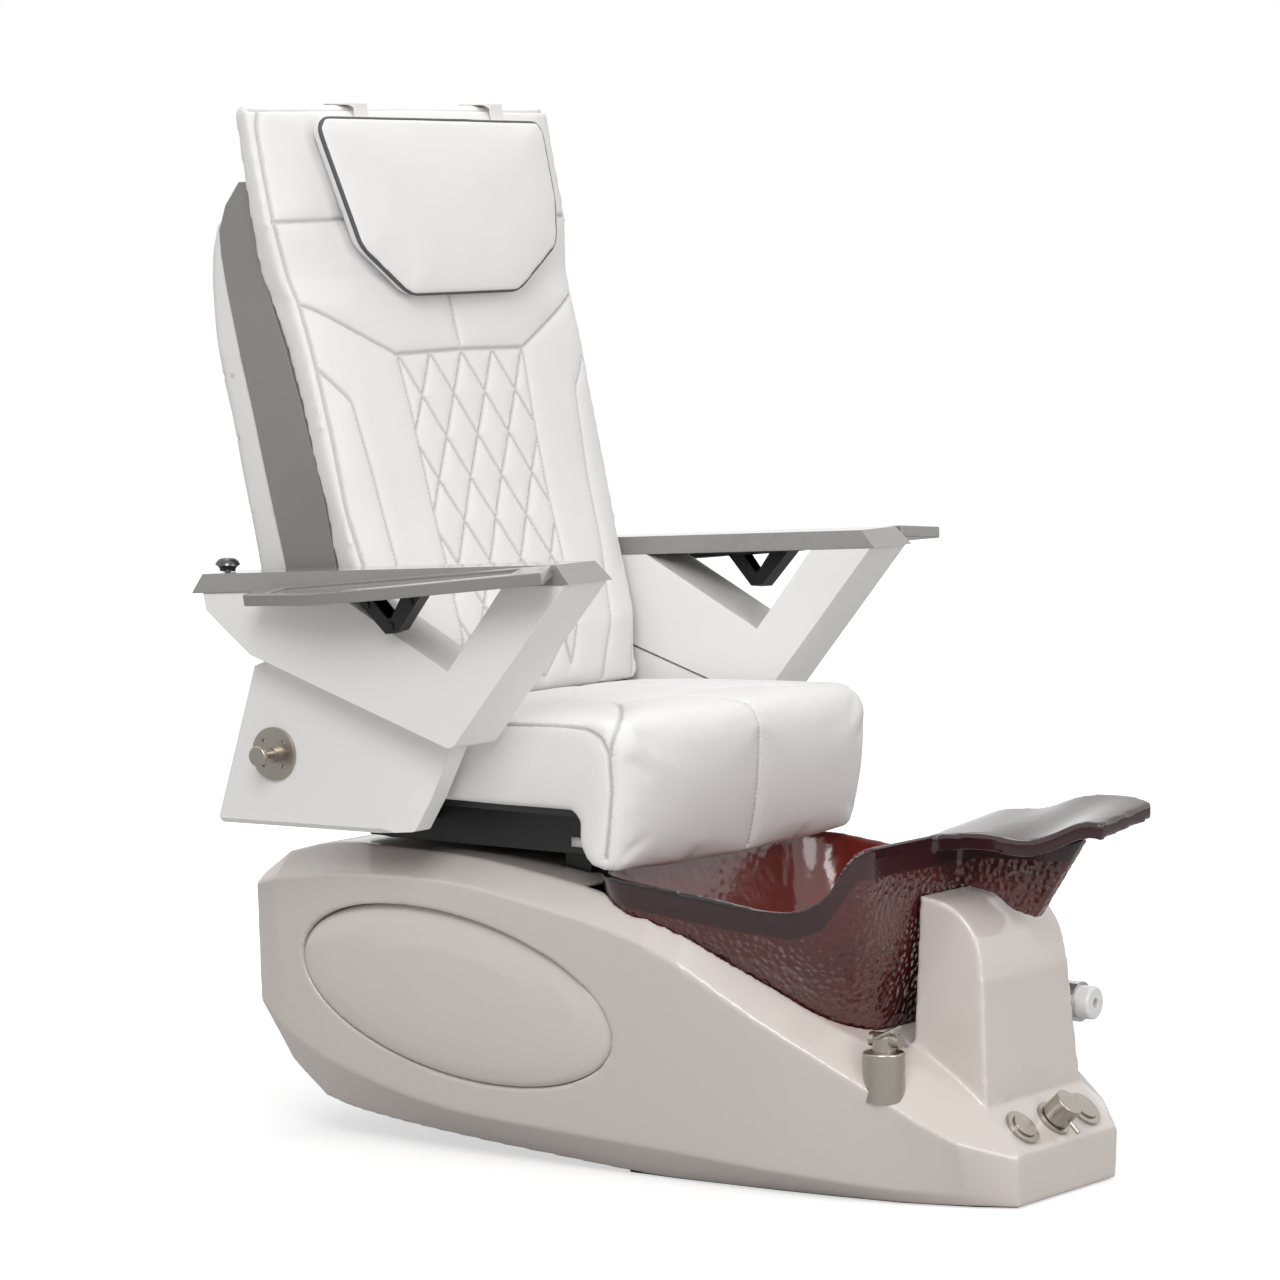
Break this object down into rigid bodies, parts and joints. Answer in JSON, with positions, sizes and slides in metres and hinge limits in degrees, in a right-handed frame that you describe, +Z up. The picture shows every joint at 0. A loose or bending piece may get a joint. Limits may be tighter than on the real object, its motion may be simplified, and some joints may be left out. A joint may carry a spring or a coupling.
{
  "type": "pedicure spa chair",
  "caption": "Salon pedicure chair: reclining massage seat on a slide, lift-up arms with folding trays, glass foot basin with footrest, moulded base with taps and controls.",
  "frame": {"origin": "on the floor on the mid plane, under the seat, on the underside of the floor pan", "axes": "+X towards the foot basin, +Y towards the sitter's left, +Z up"},
  "size_m": [1.2043, 0.9624, 1.3319],
  "materials": {
    "pearl_shell": "moulded pearl white glass fibre, gloss coat",
    "white_plastic": "satin moulded white",
    "grey_gloss": "warm grey gloss lacquer",
    "grey_band": "grey satin moulding",
    "white_leather": "white upholstery leather, fine grain",
    "white_shell": "white rear cover",
    "plum_glass": "dark plum glass, hammered outside",
    "black_steel": "black powder coat",
    "nickel": "brushed nickel",
    "chrome": "polished",
    "dark_chrome": "dark polished",
    "steel": "bare machined steel",
    "black_plastic": "moulded black",
    "grey_pvc": "drain pipe grey",
    "white_matte": "moulded white"
  },
  "bodies": {
    "base": {"floor_pan": "black_steel", "base_shell": "pearl_shell", "side_panel_right": "pearl_shell", "side_panel_left": "pearl_shell", "seat_stand": "black_steel", "slide_rails": "steel", "slide_actuator": "black_plastic", "basin": "plum_glass", "basin_drain": "chrome", "drain_pipes": "grey_pvc", "drain_pump": "black_plastic", "jet_motor": "black_plastic", "jet_cover": "white_matte", "faucet_body": "nickel", "sprayer_holder": "chrome", "control_bezels": "nickel", "rear_plate": "black_plastic", "drain_outlet": "chrome", "water_inlets": "chrome", "power_inlet": "black_plastic", "power_box": "black_plastic"},
    "plug": {"drain_plug": "chrome"},
    "impeller": {"jet_impeller": "white_matte"},
    "lever": {"faucet_lever": "nickel"},
    "sprayer": {"sprayer_head": "white_matte"},
    "knob": {"temperature_knob": "nickel"},
    "push_right": {"button_right": "nickel"},
    "push_left": {"button_left": "nickel"},
    "carriage": {"slide_rod": "steel", "slide_runners": "black_steel", "chassis_box": "black_steel", "seat_frame": "black_plastic", "seat_cushion": "white_leather", "side_cover_right": "white_plastic", "side_cover_left": "white_plastic", "upright_right": "black_steel", "upright_left": "black_steel", "bag_hook": "nickel"},
    "arm_right": {"arm_shell_right": "white_plastic", "arm_top_right": "grey_gloss", "arm_knob_right": "dark_chrome", "tray_bracket_right": "black_steel"},
    "arm_left": {"arm_shell_left": "white_plastic", "arm_top_left": "grey_gloss", "arm_knob_left": "dark_chrome", "tray_bracket_left": "black_steel"},
    "folding_tray_right": {"tray_right": "grey_gloss", "tray_hinge_right": "black_steel"},
    "folding_tray_left": {"tray_left": "grey_gloss", "tray_hinge_left": "black_steel"},
    "backrest": {"back_pad": "white_leather", "back_band_right": "grey_band", "back_band_left": "grey_band", "back_panel": "black_plastic", "back_rear_shell": "white_shell", "massage_rails": "steel", "headrest_pillow": "white_leather", "headrest_straps": "white_leather"},
    "massage_sled": {"massage_carriage": "black_steel"},
    "rollers": {"massage_rollers": "black_plastic"}
  },
  "joints": [
    {"name": "drain_plug_lift", "type": "slide", "parent": "base", "child": "plug", "axis": [0, 0, 1], "range_m": [0, 0.01]},
    {"name": "impeller_spin", "type": "hinge", "parent": "base", "child": "impeller", "pos_m": [0.15, 0, 0.215], "axis": [1, 0, 0], "continuous": true},
    {"name": "faucet_turn", "type": "hinge", "parent": "base", "child": "lever", "pos_m": [0.446, -0.194, 0.2], "axis": [0, 0, 1], "range_deg": [-60, 60]},
    {"name": "sprayer_pull", "type": "slide", "parent": "base", "child": "sprayer", "axis": [1, 0, 0], "range_m": [0, 0.045]},
    {"name": "temperature_turn", "type": "hinge", "parent": "base", "child": "knob", "pos_m": [0.569, 0, 0.09], "axis": [0.7071, 0, 0.7071], "range_deg": [-120, 120]},
    {"name": "button_press_right", "type": "slide", "parent": "base", "child": "push_right", "axis": [-0.7071, 0, -0.7071], "range_m": [0, 0.003], "stiffness_N_per_m": 400, "springref_m": -0.002},
    {"name": "button_press_left", "type": "slide", "parent": "base", "child": "push_left", "axis": [-0.7071, 0, -0.7071], "range_m": [0, 0.003], "stiffness_N_per_m": 400, "springref_m": -0.002},
    {"name": "seat_slide", "type": "slide", "parent": "base", "child": "carriage", "axis": [1, 0, 0], "range_m": [0, 0.12]},
    {"name": "back_recline", "type": "hinge", "parent": "carriage", "child": "backrest", "pos_m": [-0.3, 0, 0.5], "axis": [0, -1, 0], "range_deg": [0, 30]},
    {"name": "arm_lift_right", "type": "hinge", "parent": "carriage", "child": "arm_right", "pos_m": [-0.408, -0.32, 0.688], "axis": [0, -1, 0], "range_deg": [0, 60]},
    {"name": "arm_lift_left", "type": "hinge", "parent": "carriage", "child": "arm_left", "pos_m": [-0.408, 0.32, 0.688], "axis": [0, -1, 0], "range_deg": [0, 60]},
    {"name": "tray_fold_right", "type": "hinge", "parent": "arm_right", "child": "folding_tray_right", "pos_m": [-0.09892, -0.3959, 0.73508], "axis": [0.994, 0, 0.1097], "range_deg": [0, 82]},
    {"name": "tray_fold_left", "type": "hinge", "parent": "arm_left", "child": "folding_tray_left", "pos_m": [-0.09892, 0.3959, 0.73508], "axis": [-0.994, 0, -0.1097], "range_deg": [0, 82]},
    {"name": "massage_travel", "type": "slide", "parent": "backrest", "child": "massage_sled", "axis": [-0.2487, 0, 0.9686], "range_m": [0, 0.22]},
    {"name": "roller_spin", "type": "hinge", "parent": "massage_sled", "child": "rollers", "pos_m": [-0.34114, 0, 0.76378], "axis": [0, 1, 0], "continuous": true}
  ]
}
